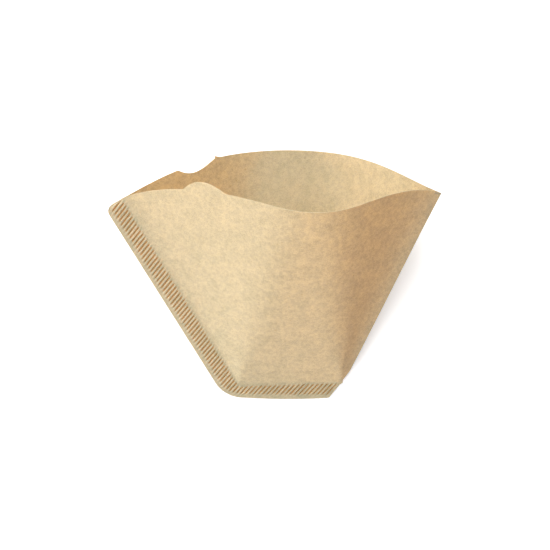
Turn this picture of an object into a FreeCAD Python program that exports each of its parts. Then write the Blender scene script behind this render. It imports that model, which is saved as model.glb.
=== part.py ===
import FreeCAD, Part
import math
import os

# A paper coffee filter: one folded sheet with a crimped seam down the left side and along the
# bottom, opened and lying on its back wall. It is drawn in the plane of its seams, with X across,
# Y from the bottom seam to the mouth and Z through the front wall, and then laid down.

# Lengths are in millimetres and angles in degrees.
SIZES = [
    ("paper_thickness", 0.2, "thickness of the paper"),
    ("fold_gap", 0.04, "half of the space between two layers that are pressed together"),
    ("bottom_length", 50.9, "length of the flat sheet's bottom edge, between unrounded corners"),
    ("bottom_rise", 1.5, "how far the bottom edge's left end stands above its right end"),
    ("bottom_bow", 0.6, "how far the bottom edge's lowest point stands below its right end"),
    ("bow_place", 5.0, "place of that point across the sheet"),
    ("bow_reach", 15.0, "how far the bottom edge's bow runs to each side of that point"),
    ("bottom_seam", 8.7, "width of the bottom seam"),
    ("side_seam", 9.5, "width of the side seam"),
    ("side_lean", 26.2, "lean of the side seam's edge from Y, with the filter open"),
    ("flat_lean", 31.6, "lean of both sides from Y in the flat sheet"),
    ("fold_lean", 24.8, "lean of the right fold from Y, with the filter open"),
    ("foot_cut", 1.85, "how far the bottom edge stops short of its corner on the right"),
    ("foot_lean", 34.2, "lean of the seam's right end from Y"),
    ("pressed_rise", 13.8, "height over which the right fold stays pressed flat"),
    ("pressed_reach", 85.0, "height at which the pressed edge runs out into the fold"),
    ("corner_radius", 15.0, "rounding of the seam at the bottom left"),
    ("top_lean", 4.0, "lean of the side seam's top from square to its edge"),
    ("top_radius", 3.6, "rounding of the side seam at the mouth"),
    ("toe_radius", 1.2, "rounding of the bottom edge at the right"),
    ("knee_radius", 24.0, "rounding of the pressed edge at its bend"),
    ("rim_radius", 164.4, "radius of the rim in the flat sheet"),
    ("rim_across", 3.0, "place of the rim's centre across the sheet"),
    ("rim_below", 46.65, "place of the rim's centre below the bottom edge"),
    ("span_clearance", 3.0, "height from the tab to the section that shapes the walls"),
    ("front_depth", 45.4, "depth of the front wall at that section"),
    ("front_crest", 0.588, "place of its crest between the folds"),
    ("front_flat", 0.5, "width of its flat crest"),
    ("back_depth", 42.2, "depth of the back wall at that section"),
    ("back_crest", 0.528, "place of its crest between the folds"),
    ("back_flat", 19.7, "width of its flat crest"),
    ("tab_place", -36.6, "place of the tab along the front rim"),
    ("tab_width", 22.4, "width of the tab"),
    ("tab_height", 4.2, "height of the tab"),
    ("notch_place", -41.4, "place of the notch along the back rim"),
    ("notch_width", 19.8, "width of the notch"),
    ("notch_depth", 3.4, "depth of the notch at its middle"),
    ("nib_width", 3.6, "width of the nib at the end of the notch"),
    ("nib_height", 1.2, "height of the nib"),
    ("crimp_side_margin", 2.0, "plain edge outside the ridges of the side seam"),
    ("crimp_bottom_margin", 1.2, "plain edge outside the ridges of the bottom seam"),
    ("crimp_inner_margin", 0.5, "plain edge inside the ridges"),
    ("crimp_top_margin", 0.6, "plain stretch between the ridges and the seam's top"),
    ("crimp_slant", 1.0, "how much the bottom ridges fall short at their left end"),
    ("ridge_pitch", 1.85, "distance from ridge to ridge, square to them"),
    ("ridge_lean", 36.5, "lean of the ridges from Y"),
    ("ridge_height", 0.22, "height of a ridge above the middle of the seam"),
]

# Each side of each wall leaves its fold almost flat and eases into the crest: the run of its
# start, the slope of that start and the run of its end, as shares of the way to the crest.
SWELLS = {
    ("front", "left"): (0.225, 0.01, 0.14),
    ("front", "right"): (0.38, 0.27, 0.32),
    ("back", "left"): (0.2, 0.13, 0.32),
    ("back", "right"): (0.36, 0.02, 0.39),
}

FACETS = 16             # flat facets in which the sheet bends, for each half of a wall
OVERLAP = 0.4           # how far the seam's two layers reach into the root of the walls
TAB_ROUNDNESS = 1.35    # 1 is a plain segment; more blends the tab's feet into the rim
NOTCH_SKEW = 0.36       # share by which the notch is deeper at its left and shallower at its right
RIM_STEP = 2.5          # distance between the points of a rim
RIM_STEPS = 6           # fewest steps in a stretch of a rim
RIM_OVERRUN = 3.0       # degrees by which a rim's line goes on beyond the folds
RIDGE_FLAT = 0.3        # share of the pitch that a ridge's top and a groove's floor take
UP = FreeCAD.Vector(0, 0, 1)

doc = FreeCAD.newDocument("coffee_filter")
sheet = doc.addObject("Spreadsheet::Sheet", "Sizes")
for row, (alias, value, meaning) in enumerate(SIZES, start=1):
    sheet.set("A%d" % row, meaning)
    sheet.set("B%d" % row, str(value))
    sheet.setAlias("B%d" % row, alias)
doc.recompute()


def size(alias):
    return sheet.get(alias)


def tangent(degrees):
    return math.tan(math.radians(degrees))


def vector(across, along, up=0.0):
    return FreeCAD.Vector(across, along, up)


def direction(lean):
    """The direction that leans from Y toward X."""
    return vector(math.sin(math.radians(lean)), math.cos(math.radians(lean)))


# The folds, in the plane of the seams

layer = size("paper_thickness") + size("fold_gap")
root_height = size("bottom_seam")
edge_left = -size("bottom_length") / 2
edge_right = size("bottom_length") / 2
span_height = size("rim_radius") - size("rim_below") + size("tab_height") + size("span_clearance")


def side_edge(height, inset=0.0):
    shift = inset / math.cos(math.radians(size("side_lean")))
    return vector(edge_left - height * tangent(size("side_lean")) + shift, height)


def foot_edge(height, inset=0.0):
    toe = edge_right - size("foot_cut")
    return vector(toe + height * tangent(size("foot_lean")) - inset, height)


root_left = side_edge(root_height, size("side_seam"))
root_right = foot_edge(root_height)


def left_fold(height, inset=0.0):
    return vector(root_left.x - (height - root_height) * tangent(size("side_lean")) + inset, height)


def right_fold(height, inset=0.0):
    return vector(root_right.x + (height - root_height) * tangent(size("fold_lean")) - inset, height)


# The two walls, each a left cone, a flat triangle and a right cone

def swell(wall, side, inset):
    """The line of half a wall at the shaping section, from its fold to its crest."""
    hold, rise, ease = SWELLS[wall, side]
    facing = 1 if wall == "front" else -1
    height = span_height
    start = left_fold(height, inset) if side == "left" else right_fold(height, inset)
    outer_left = left_fold(height).x
    crest = outer_left + (right_fold(height).x - outer_left) * size(wall + "_crest")
    half_flat = size(wall + "_flat") / 2
    crest += -half_flat if side == "left" else half_flat
    base = size("fold_gap") if inset else layer
    top = size(wall + "_depth") + base
    run = crest - start.x
    curve = Part.BezierCurve()
    curve.setPoles([
        vector(start.x, height, facing * base),
        vector(start.x + hold * run, height, facing * (base + rise * hold * abs(run))),
        vector(crest - ease * run, height, facing * top),
        vector(crest, height, facing * top),
    ])
    return curve


def fan(wall, side, inset):
    """Half a wall as narrow flat facets: its apex and the line that they reach, from the fold."""
    curve = swell(wall, side, inset)
    line = [curve.value(step / FACETS) for step in range(FACETS + 1)]
    root = root_left if side == "left" else root_right
    inward = inset if side == "left" else -inset
    return vector(root.x + inward, root_height, line[0].z), line


def feature(name, shape):
    made = doc.addObject("Part::Feature", name)
    made.Shape = shape
    return made


def envelope(name, inset):
    """The solid inside the two walls' outer faces, or inside their inner faces."""
    outlines = []
    section = []
    roots = []
    for wall, sides in (("front", ("left", "right")), ("back", ("right", "left"))):
        first_apex, rising = fan(wall, sides[0], inset)
        second_apex, falling = fan(wall, sides[1], inset)
        outlines += [[first_apex, *pair] for pair in zip(rising, rising[1:])]
        outlines.append([first_apex, rising[-1], falling[-1], second_apex])
        outlines += [[second_apex, *pair] for pair in zip(falling[:0:-1], falling[-2::-1])]
        section += rising + falling[::-1]
        roots += [first_apex, second_apex]
    middle = len(section) // 2
    outlines.append([roots[1], section[middle - 1], section[middle], roots[2]])
    outlines.append([roots[3], section[-1], section[0], roots[0]])
    outlines += [section, roots]
    faces = [Part.Face(Part.makePolygon(outline + outline[:1])) for outline in outlines]
    return feature(name, Part.Solid(Part.Shell(faces)))


outside = envelope("outside", 0.0)
inside = envelope("inside", size("paper_thickness"))
pocket = doc.addObject("Part::Cut", "pocket")
pocket.Base = outside
pocket.Tool = inside

# The rim, an arc in the flat sheet, carried through the bend of the walls


def flat_turns(wall, side):
    """For half a wall: the turn of each facet's edge in the flat sheet, from the flat triangle
    outward, with the edge's direction in space."""
    outward = -1 if side == "left" else 1
    apex, spots = fan(wall, side, size("paper_thickness"))
    lines = [(spot - apex).normalize() for spot in reversed(spots)]
    turn = math.asin(lines[0].x)
    turns = [(turn, lines[0])]
    for before, after in zip(lines, lines[1:]):
        turn += outward * before.getAngle(after)
        turns.append((turn, after))
    return apex, outward, turns


CONES = {(wall, side): flat_turns(wall, side) for wall, side in SWELLS}


def bent(wall, flat):
    """The place in space of a point of the flat sheet."""
    for side in ("left", "right"):
        apex, outward, turns = CONES[wall, side]
        reach = flat - apex
        turn = math.atan2(reach.x, reach.y)
        if outward * turn < outward * turns[0][0]:
            continue
        for (inner, before), (outer, after) in zip(turns, turns[1:]):
            if outward * turn <= outward * outer:
                share = (turn - inner) / (outer - inner)
                return apex + (before + (after - before) * share).normalize() * reach.Length
        last_turn, last_line = turns[-1]
        beyond = FreeCAD.Rotation(UP, math.degrees(last_turn - turn))
        return apex + beyond.multVec(last_line) * reach.Length
    crest_line = CONES[wall, "left"][2][0][1]
    slope = math.atan2(crest_line.z, crest_line.y)
    rise = flat.y - root_height
    return vector(flat.x, root_height + rise * math.cos(slope), rise * math.sin(slope))


def tab(place):
    share = (place - size("tab_place")) / (size("tab_width") / 2)
    return size("tab_height") * max(0.0, 1 - share * share) ** TAB_ROUNDNESS


def notch(place):
    share = (place - size("notch_place")) / (size("notch_width") / 2)
    return -size("notch_depth") * (1 - share * share) * (1 - NOTCH_SKEW * share)


def nib(place):
    start = size("notch_place") + size("notch_width") / 2
    share = (place - start) / size("nib_width")
    return size("nib_height") * (1 - share) ** 2


def plain(place):
    return 0.0


rim_reach = math.radians(size("flat_lean") + RIM_OVERRUN) * size("rim_radius")
notch_start = size("notch_place") - size("notch_width") / 2
notch_end = size("notch_place") + size("notch_width") / 2
tab_start = size("tab_place") - size("tab_width") / 2
tab_end = size("tab_place") + size("tab_width") / 2
nib_end = notch_end + size("nib_width")
RIMS = {
    "front": [(-rim_reach, tab_start, plain), (tab_start, tab_end, tab),
              (tab_end, rim_reach, plain)],
    "back": [(-rim_reach, notch_start, plain), (notch_start, notch_end, notch),
             (notch_end, nib_end, nib), (nib_end, rim_reach, plain)],
}


def rim_point(wall, place, relief):
    """The point of a rim at a distance along it from its middle, to the right."""
    turn = place / size("rim_radius")
    radius = size("rim_radius") + relief(place)
    across = size("rim_across") + radius * math.sin(turn)
    return bent(wall, vector(across, radius * math.cos(turn) - size("rim_below")))


def rim_spans(wall):
    spans = []
    for start, end, relief in RIMS[wall]:
        steps = max(RIM_STEPS, round((end - start) / RIM_STEP))
        places = [start + (end - start) * step / steps for step in range(steps + 1)]
        spans.append([rim_point(wall, place, relief) for place in places])
    return spans


def rim_waste(wall):
    """Everything beyond one wall's rim, which is cut away."""
    edges = []
    for span in rim_spans(wall):
        curve = Part.BSplineCurve()
        curve.interpolate([vector(point.x, point.y) for point in span])
        if edges and not last.isEqual(curve.StartPoint, size("fold_gap")):
            edges.append(Part.makeLine(last, curve.StartPoint))
        edges.append(curve.toShape())
        last = curve.EndPoint
    first = edges[0].valueAt(edges[0].FirstParameter)
    above = span_height + size("span_clearance")
    beside = size("rim_radius")
    corners = [last, vector(beside, last.y), vector(beside, above)]
    corners += [vector(-beside, above), vector(-beside, first.y), first]
    edges += [Part.makeLine(start, end) for start, end in zip(corners, corners[1:])]
    outline = feature(wall + "_waste_outline", Part.Face(Part.Wire(edges)))
    waste = doc.addObject("Part::Extrusion", wall + "_waste")
    waste.Base = outline
    waste.DirMode = "Custom"
    waste.Dir = UP
    waste.Solid = True
    reach = "Sizes.%s_depth + Sizes.span_clearance" % wall
    waste.setExpression("LengthFwd", reach if wall == "front" else "0")
    waste.setExpression("LengthRev", reach if wall == "back" else "0")
    return waste


waste = doc.addObject("Part::MultiFuse", "waste")
waste.Shapes = [rim_waste("front"), rim_waste("back")]
walls = doc.addObject("Part::Cut", "walls")
walls.Base = pocket
walls.Tool = waste

# The seam, two layers pressed together

def rounded(corners):
    """A closed outline through its corners, each rounded by its own radius."""
    edges = []
    last = None
    count = len(corners)
    for index, (corner, radius) in enumerate(corners + corners[:1]):
        before = corners[index % count - 1][0]
        after = corners[(index + 1) % count][0]
        coming = (corner - before).normalize()
        going = (after - corner).normalize()
        cut = radius * math.tan(coming.getAngle(going) / 2)
        start = corner - coming * cut
        end = corner + going * cut
        if last is not None:
            edges.append(Part.makeLine(last, start))
        if radius and index < count:
            inward = (going - coming).normalize()
            hub = corner + inward * math.hypot(radius, cut)
            edges.append(Part.Arc(start, hub - inward * radius, end).toShape())
        last = end
    return Part.Face(Part.Wire(edges))


def plate(name, outline, half_height):
    made = doc.addObject("Part::Extrusion", name)
    made.Base = feature(name + "_outline", outline)
    made.DirMode = "Custom"
    made.Dir = UP
    made.Solid = True
    made.setExpression("LengthFwd", half_height)
    made.setExpression("LengthRev", half_height)
    return made


def fold_at_rim():
    """The point where the side seam's inner fold meets the rim."""
    line = direction(-size("flat_lean"))
    start = root_left - vector(size("rim_across"), -size("rim_below"))
    along = -start.dot(line)
    reach = along + math.sqrt(along ** 2 - start.dot(start) + size("rim_radius") ** 2)
    return left_fold(root_height + reach * math.cos(math.radians(size("side_lean"))))


fold_top = fold_at_rim()
top_line = direction(90 - size("side_lean") - size("top_lean"))
top_slope = math.cos(math.radians(size("top_lean")))
seam_top = fold_top - top_line * (size("side_seam") / top_slope)
corner = side_edge(size("bottom_rise"))
toe = foot_edge(0)
bow = vector(size("bow_place"), -size("bottom_bow"))
bow_turn = (bow - corner).getAngle(toe - bow)
bow_radius = size("bow_reach") / math.tan(bow_turn / 2)
sharp = 0.0

seam_outline = rounded([
    (bow, bow_radius),
    (toe, size("toe_radius")),
    (foot_edge(size("pressed_rise")), size("knee_radius")),
    (right_fold(size("pressed_reach")), sharp),
    (right_fold(size("pressed_reach"), OVERLAP), sharp),
    (right_fold(root_height + OVERLAP, OVERLAP), sharp),
    (left_fold(root_height + OVERLAP, OVERLAP), sharp),
    (fold_top + top_line * OVERLAP, sharp),
    (seam_top, size("top_radius")),
    (corner, size("corner_radius")),
])
seam_blank = plate("seam_blank", seam_outline, "Sizes.paper_thickness + Sizes.fold_gap")

# The crimped band, a corrugated strip of the same two layers

band_low = size("crimp_bottom_margin")
band_high = root_height - size("crimp_inner_margin")
band_inset = size("side_seam") - size("crimp_inner_margin")


def below_top(inset):
    """The place of the ridges' upper end, at a distance in from the side seam's edge."""
    return (seam_top + top_line * (inset / top_slope)
            - direction(-size("side_lean")) * size("crimp_top_margin"))


band_outline = rounded([
    (foot_edge(band_low, size("crimp_inner_margin")), sharp),
    (foot_edge(band_high, size("crimp_inner_margin")), sharp),
    (side_edge(band_high - size("crimp_slant"), band_inset), sharp),
    (below_top(band_inset), sharp),
    (below_top(size("crimp_side_margin")), size("top_radius") - size("crimp_side_margin")),
    (side_edge(corner.y + band_low, size("crimp_side_margin")),
     size("corner_radius") - size("crimp_side_margin")),
])
band = plate("band", band_outline, "Sizes.paper_thickness + Sizes.fold_gap + Sizes.ridge_height")

ridge_line = direction(size("ridge_lean"))
ridge_square = vector(ridge_line.y, -ridge_line.x)


def ridge_outline():
    """The zigzag section of the ridges over the whole seam."""
    places = [point.dot(ridge_square) for point in (seam_top, corner, toe, root_right)]
    first = min(places) - size("ridge_pitch")
    last = max(places) + size("ridge_pitch")
    pitch = size("ridge_pitch")
    count = math.ceil((last - first) / pitch)
    high = size("ridge_height")
    waves = []
    for index in range(count):
        start = first + index * pitch
        flank = pitch * (0.5 - RIDGE_FLAT)
        waves += [(start, -high), (start + pitch * RIDGE_FLAT, -high)]
        waves += [(start + pitch * RIDGE_FLAT + flank, high), (start + pitch - flank, high)]
    top = [ridge_square * along + UP * (height + layer) for along, height in waves]
    under = [ridge_square * along + UP * (height - layer) for along, height in waves]
    line = top + under[::-1]
    return Part.Face(Part.makePolygon(line + line[:1]))


ridges = doc.addObject("Part::Extrusion", "ridges")
ridges.Base = feature("ridges_outline", ridge_outline())
ridges.DirMode = "Custom"
ridges.Dir = ridge_line
ridges.Solid = True
ridges.setExpression("LengthFwd", "Sizes.rim_radius")
ridges.setExpression("LengthRev", "Sizes.rim_radius")

crimp = doc.addObject("Part::MultiCommon", "crimp")
crimp.Shapes = [band, ridges]
slot = doc.addObject("Part::Cut", "slot")
slot.Base = seam_blank
slot.Tool = band
paper = doc.addObject("Part::MultiFuse", "filter_paper")
paper.Shapes = [walls, slot, crimp]
paper.Label = "filter_paper"
doc.recompute()

# The filter lies on its bottom edge and on the crest of its back rim

heel = vector(0, seam_outline.optimalBoundingBox().YMin, -layer)
back_rim = [point for span in rim_spans("back") for point in span]
lie = max(math.atan2(heel.z - (point.z - layer), point.y - heel.y) for point in back_rim)
laid = FreeCAD.Placement(FreeCAD.Vector(), FreeCAD.Rotation(vector(1, 0), math.degrees(lie)))
box = paper.Shape.transformed(laid.toMatrix()).optimalBoundingBox()
laid.Base = FreeCAD.Vector(-box.Center.x, -box.Center.y, -box.ZMin)
paper.Placement = laid
doc.recompute()

for item in doc.Objects:
    if "Invalid" in item.State or "Error" in item.State:
        raise RuntimeError("%s did not build" % item.Label)
if paper.Shape.isNull() or not paper.Shape.isValid() or len(paper.Shape.Solids) != 1:
    raise RuntimeError("the paper is not one valid solid")

os.makedirs("parts", exist_ok=True)
paper.Shape.exportStep("parts/%s.step" % paper.Label)
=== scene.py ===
import math
from bisect import bisect_left

import bmesh
import bpy
from mathutils import Matrix, Vector
from mathutils.geometry import interpolate_bezier
from mathutils.noise import noise


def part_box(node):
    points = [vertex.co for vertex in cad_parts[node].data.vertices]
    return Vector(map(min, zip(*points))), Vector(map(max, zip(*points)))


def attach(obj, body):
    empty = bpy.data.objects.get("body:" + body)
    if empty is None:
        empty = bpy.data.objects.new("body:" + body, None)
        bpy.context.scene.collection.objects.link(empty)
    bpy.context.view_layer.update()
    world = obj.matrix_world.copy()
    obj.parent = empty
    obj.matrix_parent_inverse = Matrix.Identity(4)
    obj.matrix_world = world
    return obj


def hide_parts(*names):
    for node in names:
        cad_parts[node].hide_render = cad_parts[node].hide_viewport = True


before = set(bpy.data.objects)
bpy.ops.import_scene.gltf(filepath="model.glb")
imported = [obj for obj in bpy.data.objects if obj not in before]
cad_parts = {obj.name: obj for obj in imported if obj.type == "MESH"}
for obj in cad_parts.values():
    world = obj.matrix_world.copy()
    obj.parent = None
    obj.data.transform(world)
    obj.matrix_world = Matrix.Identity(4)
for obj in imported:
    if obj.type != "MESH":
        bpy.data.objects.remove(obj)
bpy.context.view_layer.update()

NODE_LOW, NODE_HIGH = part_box("filter_paper")

# A paper coffee filter, opened and lying on its back wall. The sheet is laid out in the plane of
# its seams, with X across, Y from the bottom seam to the mouth and Z through the front wall, and
# then laid down as the solid lies. Its sizes are in millimetres and degrees.

MM = 0.001
PAPER = 0.2                     # thickness of the paper
GAP = 0.04                      # half of the space between two pressed layers
BOTTOM_LENGTH = 50.9
BOTTOM_RISE = 1.5               # of the bottom edge's left end above its right end
BOW = Vector((5.0, -0.6))       # the bottom edge's lowest point, before its rounding
BOW_REACH = 15.0
BOTTOM_SEAM = 8.7
SIDE_SEAM = 9.5
SIDE_LEAN = math.radians(26.2)
FLAT_LEAN = math.radians(31.6)
FOLD_LEAN = math.radians(24.8)
FOOT_CUT = 1.85
FOOT_LEAN = math.radians(34.2)
PRESSED_RISE = 13.8
PRESSED_REACH = 85.0
CORNER_RADIUS = 15.0
TOP_LEAN = math.radians(4.0)
TOP_RADIUS = 3.6
TOE_RADIUS = 1.2
RIM_RADIUS = 164.4
RIM_CENTRE = Vector((3.0, -46.65))
SPAN_HEIGHT = 124.95            # of the section that shapes the walls, above the rim
SPAN_POINTS = 129               # of half a wall's line there

# For each wall: which way it faces, its depth, the place of its crest and the crest's flat width
WALLS = {"front": (1, 45.4, 0.588, 0.5), "back": (-1, 42.2, 0.528, 19.7)}
# The run and slope of the start of half a wall, and the run of its end, as shares of its width
SWELLS = {
    ("front", "left"): (0.225, 0.01, 0.14),
    ("front", "right"): (0.38, 0.27, 0.32),
    ("back", "left"): (0.2, 0.13, 0.32),
    ("back", "right"): (0.36, 0.02, 0.39),
}

TAB_PLACE, TAB_WIDTH, TAB_HEIGHT, TAB_ROUNDNESS = -36.6, 22.4, 4.2, 1.1
NOTCH_PLACE, NOTCH_WIDTH, NOTCH_DEPTH, NOTCH_SKEW = -41.4, 19.8, 3.4, 0.36
NIB_WIDTH, NIB_HEIGHT = 3.6, 1.2

RIDGE_PITCH = 1.68
RIDGE_LEAN = math.radians(40.2)
RIDGE_HEIGHT = 0.25
RIDGE_END = 0.8                 # length over which a ridge runs out
CRIMP_SIDE = 1.7                # plain edge outside the ridges of the side seam
CRIMP_BOTTOM = 1.0
CRIMP_INNER = 0.3
CRIMP_TOP = 0.4
CRIMP_SLANT = 1.0               # how much the bottom ridges fall short at their left end
RIDGE_RAGGED = 0.3              # how far a ridge's ends stray
RIDGE_SHARPNESS = 0.7           # below 1, a ridge's top and bottom are broader than its sides

PRESSED_EASE = 0.12             # rounding of the pressed fold's ends
CREASE_SOFTNESS = 9.0           # sideways reach over which a crease of the walls is rounded
CREASE_WEIGHTS = ((-1, 1), (-0.5, 4), (0, 6), (0.5, 4), (1, 1))
RIPPLE_HEIGHT = 0.24            # of the walls' waviness
RIPPLE_WIDTH, RIPPLE_LENGTH = 34.0, 46.0
RIPPLE_MIDDLE = 0.6
WELD = 0.004                    # points of the parts nearer than this are one
CUT_TURN = 1.3                  # radians by which a cut edge turns into each side of the paper
SHARP_TURN = 55                 # degrees past which an edge is shaded as sharp


def smooth(share):
    share = min(1.0, max(0.0, share))
    return share * share * (3 - 2 * share)


def direction(lean):
    """The direction that leans from Y toward X."""
    return Vector((math.sin(lean), math.cos(lean)))


def side_edge(height, inset=0.0):
    shift = inset / math.cos(SIDE_LEAN)
    return Vector((-BOTTOM_LENGTH / 2 - height * math.tan(SIDE_LEAN) + shift, height))


def foot_edge(height):
    return Vector((BOTTOM_LENGTH / 2 - FOOT_CUT + height * math.tan(FOOT_LEAN) - PAPER, height))


ROOT_LEFT = side_edge(BOTTOM_SEAM, SIDE_SEAM).to_3d()
ROOT_RIGHT = foot_edge(BOTTOM_SEAM).to_3d()
RIDGE_LINE = direction(RIDGE_LEAN)
RIDGE_SQUARE = Vector((RIDGE_LINE.y, -RIDGE_LINE.x))


# The bend of the walls

def left_fold(height):
    return Vector((ROOT_LEFT.x - (height - BOTTOM_SEAM) * math.tan(SIDE_LEAN), height, 0))


def right_fold(height):
    return Vector((ROOT_RIGHT.x + (height - BOTTOM_SEAM) * math.tan(FOLD_LEAN), height, 0))


def swell(wall, side):
    """The line of half a wall at the shaping section, from its crest to its fold."""
    facing, depth, crest_share, flat = WALLS[wall]
    hold, rise, ease = SWELLS[wall, side]
    left, right = left_fold(SPAN_HEIGHT), right_fold(SPAN_HEIGHT)
    start = left if side == "left" else right
    crest = left.x + (right.x - left.x) * crest_share + (-flat / 2 if side == "left" else flat / 2)
    run = crest - start.x
    top = facing * (depth + GAP)
    return interpolate_bezier(
        Vector((crest, SPAN_HEIGHT, top)),
        Vector((crest - ease * run, SPAN_HEIGHT, top)),
        Vector((start.x + hold * run, SPAN_HEIGHT, facing * (GAP + rise * hold * abs(run)))),
        Vector((start.x, SPAN_HEIGHT, facing * GAP)), SPAN_POINTS)


def cone(wall, side):
    """Half a wall as straight lines from its apex: their turns in the flat sheet, from the
    crest outward, and their directions in space."""
    apex = ROOT_LEFT if side == "left" else ROOT_RIGHT
    outward = -1 if side == "left" else 1
    facing = WALLS[wall][0]
    apex = apex + Vector((0, 0, facing * GAP))
    lines = [(spot - apex).normalized() for spot in swell(wall, side)]
    turn = outward * math.asin(lines[0].x)
    turns = [turn]
    for before, after in zip(lines, lines[1:]):
        turn += before.angle(after)
        turns.append(turn)
    stretch = (FLAT_LEAN - turns[0]) / (turns[-1] - turns[0])
    turns = [turns[0] + (turn - turns[0]) * stretch for turn in turns]
    return apex, outward, turns, lines


CONES = {(wall, side): cone(wall, side) for wall, side in SWELLS}


def bent(wall, flat):
    """The place in space of a point of the flat sheet."""
    for side in ("left", "right"):
        apex, outward, turns, lines = CONES[wall, side]
        reach = flat - apex.xy
        turn = outward * math.atan2(reach.x, reach.y)
        if turn < turns[0]:
            continue
        after = min(bisect_left(turns, turn), len(turns) - 1)
        before = max(after - 1, 0)
        width = turns[after] - turns[before] or 1.0
        share = min(1.0, (turn - turns[before]) / width)
        return apex + lines[before].lerp(lines[after], share).normalized() * reach.length
    apex, outward, turns, lines = CONES[wall, "left"]
    slope = math.atan2(lines[0].z, lines[0].y)
    rise = flat.y - BOTTOM_SEAM
    return Vector((flat.x, BOTTOM_SEAM + rise * math.cos(slope), apex.z + rise * math.sin(slope)))


# The rim in the flat sheet

def tab(place):
    share = (place - TAB_PLACE) / (TAB_WIDTH / 2)
    return TAB_HEIGHT * max(0.0, 1 - share * share) ** TAB_ROUNDNESS


def notch(place):
    share = (place - NOTCH_PLACE) / (NOTCH_WIDTH / 2)
    beyond = (place - NOTCH_PLACE - NOTCH_WIDTH / 2) / NIB_WIDTH
    if 0 <= beyond <= 1:
        return NIB_HEIGHT * (1 - beyond) ** 2
    return -NOTCH_DEPTH * max(0.0, 1 - share * share) * (1 - NOTCH_SKEW * share)


def rim(wall, place):
    """The point of a rim at a distance along it from its middle, to the right."""
    radius = RIM_RADIUS + (tab(place) if wall == "front" else notch(place))
    turn = place / RIM_RADIUS
    return RIM_CENTRE + Vector((math.sin(turn), math.cos(turn))) * radius


def rim_end(root, lean):
    """Where a straight fold from the root meets the rim, as a place along it."""
    line = Vector((math.sin(lean), math.cos(lean)))
    start = root.xy - RIM_CENTRE
    along = -start.dot(line)
    reach = along + math.sqrt(along ** 2 - start.length_squared + RIM_RADIUS ** 2)
    top = start + line * reach
    return RIM_RADIUS * math.atan2(top.x, top.y), reach


RIM_LEFT, LEFT_REACH = rim_end(ROOT_LEFT, -FLAT_LEAN)
RIM_RIGHT, RIGHT_REACH = rim_end(ROOT_RIGHT, FLAT_LEAN)
NOTCH_END = NOTCH_PLACE + NOTCH_WIDTH / 2

# Stops of a wall's columns: the share of the columns up to a place along the rim
RIM_STOPS = {
    "front": [(0, RIM_LEFT), (16, TAB_PLACE - TAB_WIDTH / 2), (36, TAB_PLACE + TAB_WIDTH / 2),
              (84, RIM_RIGHT)],
    "back": [(0, RIM_LEFT), (14, NOTCH_PLACE - NOTCH_WIDTH / 2), (31, NOTCH_END - 0.12),
             (32, NOTCH_END), (36, NOTCH_END + NIB_WIDTH), (84, RIM_RIGHT)],
}
WALL_COLUMNS = 84
WALL_ROWS = 102
FOLD_CUTS = 3                   # points of the seam between two of a wall's points, on the fold
ROOT_CUTS = 1                   # and on the root


def between(stops, value):
    """The straight line through the stops, read at a value."""
    for (low, first), (high, second) in zip(stops, stops[1:]):
        if value <= high:
            return first + (second - first) * (value - low) / (high - low)
    return stops[-1][1]


def pressed_edge(height):
    """How far the pressed fold stands out from the open fold's line, near the bottom."""
    opening = math.tan(FOOT_LEAN) - math.tan(FOLD_LEAN)
    knee = (PRESSED_RISE - BOTTOM_SEAM) * opening
    rising = (height - BOTTOM_SEAM) * opening
    falling = knee * (PRESSED_REACH - height) / (PRESSED_REACH - PRESSED_RISE)
    ends = math.exp(-rising / PRESSED_EASE) + math.exp(-falling / PRESSED_EASE)
    return -PRESSED_EASE * math.log(ends)


def wall_spot(wall, across, along):
    """A point of a wall: shares of the way from the left fold to the right one, and from the
    root to the rim."""
    facing = WALLS[wall][0]
    foot = ROOT_LEFT.lerp(ROOT_RIGHT, across).xy
    flat = foot.lerp(rim(wall, between(RIM_STOPS[wall], across * WALL_COLUMNS)), along)
    middle = smooth(across / 0.2) * smooth((1 - across) / 0.2) * smooth(along / 0.3)
    reach = CREASE_SOFTNESS * middle
    spot = Vector((0, 0, 0))
    total = sum(weight for offset, weight in CREASE_WEIGHTS)
    for offset, weight in CREASE_WEIGHTS:
        spot += bent(wall, flat + Vector((offset * reach, 0))) * (weight / total)
    near_fold = smooth((across - 0.9) / 0.1)
    spot.x += max(0.0, pressed_edge(spot.y)) * near_fold
    if across > 0.9999:
        spot.z = 0.0
    place = Vector((flat.x / RIPPLE_WIDTH, flat.y / RIPPLE_LENGTH, facing * 3.7))
    spot.z += facing * RIPPLE_HEIGHT * (noise(place) - RIPPLE_MIDDLE) * middle
    return spot


# The seam, laid out along its ridges

def arc(corner, before, after, radius, steps=24):
    """The points of a rounded corner."""
    coming = (corner - before).normalized()
    going = (after - corner).normalized()
    cut = radius * math.tan(coming.angle(going) / 2)
    hub = corner + (going - coming).normalized() * math.hypot(radius, cut)
    first = corner - coming * cut - hub
    sweep = coming.angle_signed(going)
    return [hub + Matrix.Rotation(-sweep * step / steps, 2) @ first for step in range(steps + 1)]


CORNER = side_edge(BOTTOM_RISE)
TOE = foot_edge(0)
FOLD_TOP = left_fold(BOTTOM_SEAM + LEFT_REACH * math.cos(SIDE_LEAN)).xy
TOP_LINE = direction(math.pi / 2 - SIDE_LEAN - TOP_LEAN)
SEAM_TOP = FOLD_TOP - TOP_LINE * (SIDE_SEAM / math.cos(TOP_LEAN))
BOW_RADIUS = BOW_REACH / math.tan((BOW - CORNER).angle(TOE - BOW) / 2)


def in_ridges(points):
    """Points of the seam as distances square to the ridges and along them."""
    return [(point.dot(RIDGE_SQUARE), point.dot(RIDGE_LINE)) for point in points]


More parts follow.
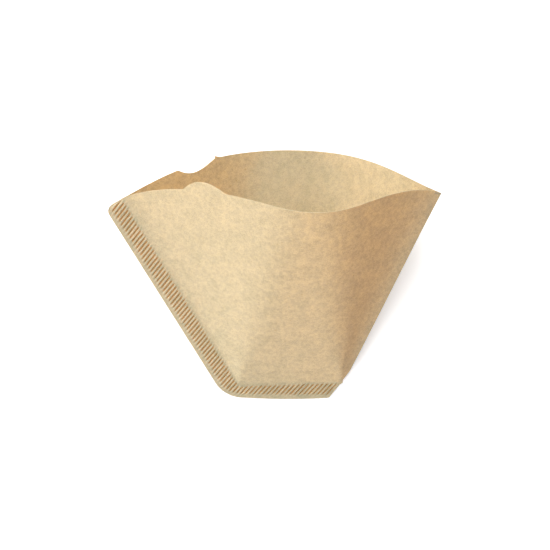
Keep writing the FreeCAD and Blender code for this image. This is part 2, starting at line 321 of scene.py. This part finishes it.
def seam_edges():
    """The seam's outer and inner edges, each as distances square to and along the ridges."""
    top_arc = arc(SEAM_TOP, FOLD_TOP, CORNER, TOP_RADIUS)
    start = min(range(len(top_arc)), key=lambda index: top_arc[index].dot(RIDGE_SQUARE))
    toe_arc = arc(TOE, BOW, ROOT_RIGHT.xy, TOE_RADIUS, 10)
    end = max(range(len(toe_arc)), key=lambda index: toe_arc[index].dot(RIDGE_SQUARE))
    corner_arc = arc(CORNER, SEAM_TOP, BOW, CORNER_RADIUS)
    bow_arc = arc(BOW, CORNER, TOE, BOW_RADIUS)
    outer = top_arc[start:] + corner_arc + bow_arc + toe_arc[:end + 1]
    inner = top_arc[start::-1] + [FOLD_TOP, ROOT_LEFT.xy, ROOT_RIGHT.xy] + toe_arc[end:][::-1]
    return in_ridges(outer), in_ridges(inner)


OUTER_EDGE, INNER_EDGE = seam_edges()
SEAM_ROWS = 14

# Columns of the seam up to the fold's top, its two roots and its right end, each with its place
AT_FOLD_TOP = 18
AT_ROOT_LEFT = AT_FOLD_TOP + WALL_ROWS * (FOLD_CUTS + 1)
AT_ROOT_RIGHT = AT_ROOT_LEFT + WALL_COLUMNS * (ROOT_CUTS + 1)
SEAM_COLUMNS = AT_ROOT_RIGHT + 6
SEAM_STOPS = [
    (0, INNER_EDGE[0][0]),
    (AT_FOLD_TOP, FOLD_TOP.dot(RIDGE_SQUARE)),
    (AT_ROOT_LEFT, ROOT_LEFT.xy.dot(RIDGE_SQUARE)),
    (AT_ROOT_RIGHT, ROOT_RIGHT.xy.dot(RIDGE_SQUARE)),
    (SEAM_COLUMNS, INNER_EDGE[-1][0]),
]


def rounding(corner, before, after, radius):
    """A rounded corner's middle, with the directions of the two edges toward the corner."""
    coming = (corner - before).normalized()
    leaving = (corner - after).normalized()
    cut = radius / math.tan(coming.angle(leaving) / 2)
    hub = corner - (coming + leaving).normalized() * math.hypot(radius, cut)
    return hub, coming, leaving, radius


# The seam's two rounded corners, each with its plain edge outside the ridges
ROUNDINGS = [
    (rounding(CORNER, SEAM_TOP, BOW, CORNER_RADIUS), (CRIMP_SIDE + CRIMP_BOTTOM) / 2),
    (rounding(SEAM_TOP, FOLD_TOP, CORNER, TOP_RADIUS), (CRIMP_SIDE + CRIMP_TOP) / 2),
]


def plain_edge(spot):
    """How far a point of the seam lies inside the plain edge round the ridges."""
    side = (spot - CORNER).dot(direction(math.pi / 2 - SIDE_LEAN))
    slant = (ROOT_RIGHT.x - spot.x) / (ROOT_RIGHT.x - ROOT_LEFT.x)
    low = spot.y - BOTTOM_RISE * slant - CRIMP_BOTTOM
    high = BOTTOM_SEAM - CRIMP_SLANT * slant - spot.y
    inner = max(SIDE_SEAM - side, high) - CRIMP_INNER
    top = (SEAM_TOP - spot).dot(Vector((-TOP_LINE.y, TOP_LINE.x))) - CRIMP_TOP
    right = (foot_edge(spot.y).x - spot.x) * math.cos(FOOT_LEAN) - CRIMP_INNER
    depth = min(side - CRIMP_SIDE, low, inner, top, right)
    for (hub, coming, leaving, radius), margin in ROUNDINGS:
        reach = spot - hub
        if reach.dot(coming) > 0 and reach.dot(leaving) > 0:
            depth = min(depth, radius - reach.length - margin)
    return depth


def crimp(spot, square):
    """The height of the ridges at a point of the seam, from -1 to 1, and how deep it lies
    between them, from 0 to 1, which weighs the painted shade of the hollows."""
    number = math.floor(square / RIDGE_PITCH)
    ragged = RIDGE_RAGGED * noise(Vector((number * 7.31, 0.5, 0)))
    wave = math.cos(2 * math.pi * square / RIDGE_PITCH)
    pressed = smooth((plain_edge(spot) + ragged) / RIDGE_END)
    height = math.copysign(abs(wave) ** RIDGE_SHARPNESS, wave)
    return pressed * height, pressed * (1 - wave) / 2


def seam_spot(wall, across, along):
    """A point of one layer of the seam: shares of the way round it and from its outer edge to
    its inner one. It is given with its depth between the ridges, the weight of painted shade."""
    facing = WALLS[wall][0]
    square = between(SEAM_STOPS, across * SEAM_COLUMNS)
    outer, inner = between(OUTER_EDGE, square), between(INNER_EDGE, square)
    spot = RIDGE_SQUARE * square + RIDGE_LINE * (outer + (inner - outer) * along)
    height, hollow_painted_shade = crimp(spot, square)
    fold = 0.0 if square > SEAM_STOPS[3][1] - 0.001 and along > 0.9999 else facing * GAP
    return Vector((spot.x, spot.y, fold + RIDGE_HEIGHT * height)), hollow_painted_shade


def add_part(sheet, columns, rows, spot_of, fold_cuts=0, root_cuts=0):
    """A grid shaped by a formula of the shares of the way across and along it. Its first column
    and its first row can have more points than the others, to meet a finer part."""
    part = bmesh.new()
    # Each point keeps its depth between the seam's ridges, which weighs the painted shade there.
    hollow_painted_shades = part.verts.layers.float.new("hollow_painted_shade")
    bmesh.ops.create_grid(part, x_segments=columns, y_segments=rows, size=0.5)
    first = -0.499999           # the grid's first column and row lie at -0.5
    for axis, cuts in ((0, fold_cuts), (1, root_cuts)):
        if cuts:
            line = [edge for edge in part.edges if all(vert.co[axis] < first for vert in edge.verts)]
            bmesh.ops.subdivide_edges(part, edges=line, cuts=cuts)
    for vert in part.verts:
        vert.co, vert[hollow_painted_shades] = spot_of(vert.co.x + 0.5, vert.co.y + 0.5)
    mesh = bpy.data.meshes.new("part")
    part.to_mesh(mesh)
    part.free()
    sheet.from_mesh(mesh)
    bpy.data.meshes.remove(mesh)


def add_layer(sheet, wall):
    """One layer of the sheet: its part of the seam, and its wall."""
    def on_seam(across, along):
        return seam_spot(wall, across, along)

    def on_wall(across, along):
        return wall_spot(wall, across, along), 0.0

    add_part(sheet, SEAM_COLUMNS, SEAM_ROWS, on_seam)
    add_part(sheet, WALL_COLUMNS, WALL_ROWS, on_wall, FOLD_CUTS, ROOT_CUTS)


def lay_down(sheet):
    """Turns the sheet onto its back wall and sets it where the solid lies."""
    heel_edge = min(spot.y for spot in arc(BOW, CORNER, TOE, BOW_RADIUS))
    heel = Vector((0, heel_edge, -GAP - PAPER))
    places = [RIM_LEFT + (RIM_RIGHT - RIM_LEFT) * step / 80 for step in range(81)]
    rims = [bent("back", rim("back", place)) for place in places]
    lie = max(math.atan2(heel.z - (spot.z - PAPER), spot.y - heel.y) for spot in rims)
    bmesh.ops.rotate(sheet, cent=(0, 0, 0), matrix=Matrix.Rotation(lie, 3, "X"), verts=sheet.verts)
    bmesh.ops.scale(sheet, vec=(MM, MM, MM), verts=sheet.verts)
    low = Vector([min(vert.co[axis] for vert in sheet.verts) for axis in range(3)])
    high = Vector([max(vert.co[axis] for vert in sheet.verts) for axis in range(3)])
    node_middle = (Vector(NODE_LOW) + Vector(NODE_HIGH)) / 2
    shift = node_middle - (low + high) / 2
    bmesh.ops.translate(sheet, vec=shift, verts=sheet.verts)
    return lie, shift


def mark_cut_edges(sheet):
    """Marks the narrow faces round the paper, which turn sharply into both of its sides."""
    cut = sheet.faces.layers.float.new("cut")
    for face in sheet.faces:
        turns = sum(edge.calc_face_angle(0) > CUT_TURN for edge in face.edges)
        face[cut] = 1.0 if turns > 1 else 0.0


def make_sheet(material):
    """The whole filter as one piece, with its tilt and its shift from the plane of its seams."""
    sheet = bmesh.new()
    for wall in WALLS:
        add_layer(sheet, wall)
    bmesh.ops.remove_doubles(sheet, verts=sheet.verts, dist=WELD)
    bmesh.ops.recalc_face_normals(sheet, faces=sheet.faces)
    bmesh.ops.solidify(sheet, geom=sheet.faces[:], thickness=-PAPER)
    mark_cut_edges(sheet)
    lie, shift = lay_down(sheet)
    for face in sheet.faces:
        face.smooth = True
    mesh = bpy.data.meshes.new("filter_sheet")
    sheet.to_mesh(mesh)
    sheet.free()
    mesh.set_sharp_from_angle(angle=math.radians(SHARP_TURN))
    mesh.materials.append(material)
    piece = bpy.data.objects.new("filter_sheet", mesh)
    bpy.context.scene.collection.objects.link(piece)
    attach(piece, "root")
    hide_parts("filter_paper")
    return piece, lie, shift


# Shader expressions

class Value:
    """A socket whose sums and products add Math nodes."""

    def __init__(self, shader, socket):
        self.shader = shader
        self.socket = socket

    def math(self, operation, first, second=0.0):
        node = self.shader.node("ShaderNodeMath", {"operation": operation}, {0: first, 1: second})
        return Value(self.shader, node.outputs[0])

    def __add__(self, other):
        return self.math("ADD", self, other)

    __radd__ = __add__

    def __sub__(self, other):
        return self.math("SUBTRACT", self, other)

    def __rsub__(self, other):
        return self.math("SUBTRACT", other, self)

    def __mul__(self, other):
        return self.math("MULTIPLY", self, other)

    __rmul__ = __mul__

    def __abs__(self):
        return self.math("ABSOLUTE", self)


class Shader:
    """The node tree of a material."""

    def __init__(self, name):
        self.material = bpy.data.materials.new(name)
        self.material.use_nodes = True
        self.tree = self.material.node_tree
        self.tree.nodes.clear()
        self.output = self.tree.nodes.new("ShaderNodeOutputMaterial")

    def node(self, kind, settings=None, inputs=None):
        """A node of a kind, with its settings and then the values or links of its sockets."""
        made = self.tree.nodes.new(kind)
        for name, value in (settings or {}).items():
            setattr(made, name, value)
        for name, value in (inputs or {}).items():
            socket = made.inputs[name]
            if isinstance(value, Value):
                self.tree.links.new(value.socket, socket)
            elif isinstance(value, bpy.types.NodeSocket):
                self.tree.links.new(value, socket)
            else:
                socket.default_value = value
        return made

    def value(self, socket):
        return Value(self, socket)

    def stretch(self, scale, turn=(0, 0, 0)):
        coordinates = self.node("ShaderNodeTexCoord").outputs["Object"]
        mapping = self.node("ShaderNodeMapping", {}, {
            "Vector": coordinates, "Rotation": turn, "Scale": scale})
        return mapping.outputs[0]

    def noise(self, scale, detail=3.0, roughness=0.5, vector=None):
        made = self.node("ShaderNodeTexNoise", {}, {
            "Vector": vector or self.stretch((1, 1, 1)),
            "Scale": scale, "Detail": detail, "Roughness": roughness})
        return self.value(made.outputs["Fac"])

    def attribute(self, name):
        made = self.node("ShaderNodeAttribute", {"attribute_name": name})
        return self.value(made.outputs["Fac"])

    def span(self, value, low, high):
        """A value read between two limits, from 0 to 1, smoothly."""
        made = self.node("ShaderNodeMapRange", {"interpolation_type": "SMOOTHSTEP"}, {
            "Value": value, "From Min": low, "From Max": high})
        return self.value(made.outputs[0])

    def blend(self, share, first, second):
        made = self.node("ShaderNodeMix", {"data_type": "RGBA"}, {
            "Factor": share, 6: first, 7: second})
        return made.outputs[2]


def colour(red, green, blue):
    """A colour given as it looks on a screen, from 0 to 255."""
    def linear(level):
        level /= 255
        return level / 12.92 if level <= 0.04045 else ((level + 0.055) / 1.055) ** 2.4
    return (linear(red), linear(green), linear(blue), 1.0)


def fibres(shader, scale, turn):
    """Thin lines where a stretched noise crosses its middle."""
    stretched = shader.stretch((1.0, 5.0, 1.0), (0, 0, turn))
    ridge = abs(shader.noise(scale, 2.0, 0.5, stretched) - 0.5)
    return 1.0 - shader.span(ridge, 0.0, 0.05)


def unbleached_paper():
    """Pale brown paper, cloudy and grainy, that lets golden light through. It has painted shade,
    brown, in the hollows of the crimped seam, and it is greyer on its cut edges."""
    shader = Shader("unbleached_paper")
    cloud = shader.noise(160.0, 4.0, 0.6)
    mottle = shader.noise(520.0, 4.0, 0.65)
    grain = shader.noise(2400.0, 3.0, 0.7)
    mesh_of_fibres = fibres(shader, 330.0, 0.4) + fibres(shader, 280.0, -0.9)
    mesh_of_fibres = mesh_of_fibres + fibres(shader, 360.0, 1.7)
    fleck = shader.span(shader.noise(900.0, 1.0, 0.5), 0.72, 0.78)
    hollow_painted_shade = shader.attribute("hollow_painted_shade")
    cut = shader.attribute("cut")

    tone = shader.span(cloud, 0.7, 0.3) * 0.2 + shader.span(mottle, 0.7, 0.3) * 0.3
    tone = tone + shader.span(grain, 0.64, 0.36) * 0.5
    body = shader.blend(tone, colour(215, 206, 162), colour(243, 237, 205))
    body = shader.blend(mesh_of_fibres * 0.16, body, colour(242, 236, 207))
    body = shader.blend(fleck * 0.35, body, colour(170, 128, 78))
    # Painted shade: the hollows between the seam's ridges are tinted a darker brown, where shade
    # falls between them.
    body = shader.blend(shader.span(hollow_painted_shade, 0.2, 0.9) * 0.85, body, colour(204, 140, 44))
    body = shader.blend(cut * 0.75, body, colour(186, 162, 126))

    height = mottle * 0.4 + grain * 0.35 + mesh_of_fibres * 0.2
    bump = shader.node("ShaderNodeBump", {}, {
        "Strength": 0.45, "Distance": 0.13 * MM, "Height": height})
    surface = shader.node("ShaderNodeBsdfPrincipled", {}, {
        "Base Color": body, "Roughness": 0.9, "Specular IOR Level": 0.25,
        "Sheen Weight": 0.15, "Sheen Roughness": 0.5, "Normal": bump.outputs[0]})
    thin = shader.node("ShaderNodeBsdfTranslucent", {}, {
        "Color": colour(248, 208, 78), "Normal": bump.outputs[0]})
    thick = shader.node("ShaderNodeBsdfTranslucent", {}, {
        "Color": colour(192, 140, 24), "Normal": bump.outputs[0]})
    clots = shader.span(mottle, 0.36, 0.64) * 0.4 + shader.span(cloud, 0.36, 0.64) * 0.2
    clots = clots + shader.span(grain, 0.4, 0.6) * 0.4
    glow = shader.node("ShaderNodeMixShader", {}, {
        0: clots, 1: thin.outputs[0], 2: thick.outputs[0]})
    mixed = shader.node("ShaderNodeMixShader", {}, {
        0: 0.46 - cut * 0.36, 1: surface.outputs[0], 2: glow.outputs[0]})
    shader.tree.links.new(mixed.outputs[0], shader.output.inputs[0])
    return shader.material


# The floor, the lights and the camera

def make_floor():
    """A pale floor that keeps the shadow, and that the camera sees as white farther out."""
    shader = Shader("white_floor")
    seen = shader.value(shader.node("ShaderNodeLightPath").outputs["Is Camera Ray"])
    surface = shader.node("ShaderNodeBsdfPrincipled", {}, {
        "Base Color": (0.8, 0.8, 0.8, 1), "Roughness": 0.9, "Specular IOR Level": 0.1})
    place = shader.node("ShaderNodeTexCoord").outputs["Object"]
    length = shader.node("ShaderNodeVectorMath", {"operation": "LENGTH"}, {0: place})
    distance = shader.value(length.outputs["Value"])
    near = shader.node("ShaderNodeEmission", {}, {"Color": (1, 1, 1, 1), "Strength": 0.45})
    far = shader.node("ShaderNodeEmission", {}, {"Color": (1, 1, 1, 1), "Strength": 1.0})
    light = shader.node("ShaderNodeMixShader", {}, {
        0: shader.span(distance, 0.2, 0.8), 1: near.outputs[0], 2: far.outputs[0]})
    none = shader.node("ShaderNodeEmission", {}, {"Color": (0, 0, 0, 1), "Strength": 0.0})
    lift = shader.node("ShaderNodeMixShader", {}, {
        0: seen, 1: none.outputs[0], 2: light.outputs[0]})
    both = shader.node("ShaderNodeAddShader", {}, {
        0: surface.outputs[0], 1: lift.outputs[0]})
    shader.tree.links.new(both.outputs[0], shader.output.inputs[0])
    plane = bmesh.new()
    bmesh.ops.create_grid(plane, x_segments=1, y_segments=1, size=3.0)
    mesh = bpy.data.meshes.new("floor")
    plane.to_mesh(mesh)
    plane.free()
    mesh.materials.append(shader.material)
    floor = bpy.data.objects.new("floor", mesh)
    bpy.context.scene.collection.objects.link(floor)


def add_lamp(name, place, target, size, power):
    """A square soft lamp turned toward a target."""
    lamp = bpy.data.lights.new(name, "AREA")
    lamp.size = size
    lamp.energy = power
    stand = bpy.data.objects.new(name, lamp)
    aim = (Vector(target) - Vector(place)).to_track_quat("-Z", "Y")
    stand.matrix_world = Matrix.Translation(place) @ aim.to_matrix().to_4x4()
    bpy.context.scene.collection.objects.link(stand)


def make_lights():
    """Soft lamps, named for the part of the filter that each one lights."""
    middle = (0, 0, 0.03)
    add_lamp("key_softbox", (-0.45, 0.85, 0.33), middle, 0.35, 16.0)
    add_lamp("left_softbox", (-0.98, -0.05, 0.23), middle, 0.35, 3.2)
    add_lamp("mouth_softbox", (0.2, 0.77, 0.63), middle, 0.35, 2.2)
    add_lamp("right_softbox", (0.65, 0.18, 0.77), middle, 0.35, 2.7)
    add_lamp("heel_softbox", (-0.6, -0.62, 0.53), middle, 0.4, 10.6)


def make_world():
    """A faint light from all round, which the camera sees as a white backdrop."""
    world = bpy.data.worlds.new("studio")
    world.use_nodes = True
    tree = world.node_tree
    light = tree.nodes["Background"]
    light.inputs["Color"].default_value = (1, 1, 1, 1)
    light.inputs["Strength"].default_value = 0.02
    backdrop = tree.nodes.new("ShaderNodeBackground")
    backdrop.inputs["Color"].default_value = (1, 1, 1, 1)
    mixed = tree.nodes.new("ShaderNodeMixShader")
    tree.links.new(tree.nodes.new("ShaderNodeLightPath").outputs["Is Camera Ray"], mixed.inputs[0])
    tree.links.new(light.outputs[0], mixed.inputs[1])
    tree.links.new(backdrop.outputs[0], mixed.inputs[2])
    tree.links.new(mixed.outputs[0], tree.nodes["World Output"].inputs["Surface"])
    bpy.context.scene.world = world


IMAGE_SIDE = 550.0              # pixels
VIEW_RISE = math.radians(24.99)
VIEW_TURN = math.radians(1.781)
VIEW_ROLL = math.radians(-1.878)
VIEW_DISTANCE = 499.08
VIEW_TARGET = Vector((0, 60, 0))
VIEW_SCALE = 2.207              # pixels for a millimetre at the target
VIEW_CENTRE = (275.66, 284.28)  # the target's pixel


def make_camera(lie, shift):
    """The photograph's view, given in the plane of the seams and then laid down."""
    toward = Vector((
        math.sin(VIEW_TURN) * math.cos(VIEW_RISE), math.sin(VIEW_RISE),
        math.cos(VIEW_TURN) * math.cos(VIEW_RISE)))
    across = Vector((0, 1, 0)).cross(toward).normalized()
    upward = toward.cross(across)
    right = across * math.cos(VIEW_ROLL) + upward * math.sin(VIEW_ROLL)
    top = upward * math.cos(VIEW_ROLL) - across * math.sin(VIEW_ROLL)
    turned = Matrix((right, top, toward)).transposed()
    laid = Matrix.Rotation(lie, 3, "X")
    place = laid @ (VIEW_TARGET + toward * VIEW_DISTANCE) * MM + shift
    lens = bpy.data.cameras.new("camera")
    lens.sensor_width = 36.0
    lens.lens = VIEW_SCALE * VIEW_DISTANCE * lens.sensor_width / IMAGE_SIDE
    lens.shift_x = (IMAGE_SIDE / 2 - VIEW_CENTRE[0]) / IMAGE_SIDE
    lens.shift_y = (VIEW_CENTRE[1] - IMAGE_SIDE / 2) / IMAGE_SIDE
    camera = bpy.data.objects.new("camera", lens)
    camera.matrix_world = Matrix.Translation(place) @ (laid @ turned).to_4x4()
    bpy.context.scene.collection.objects.link(camera)
    bpy.context.scene.camera = camera


make_floor()
make_lights()
make_world()
piece, lie, shift = make_sheet(unbleached_paper())
make_camera(lie, shift)
bpy.context.scene.view_settings.view_transform = "Standard"
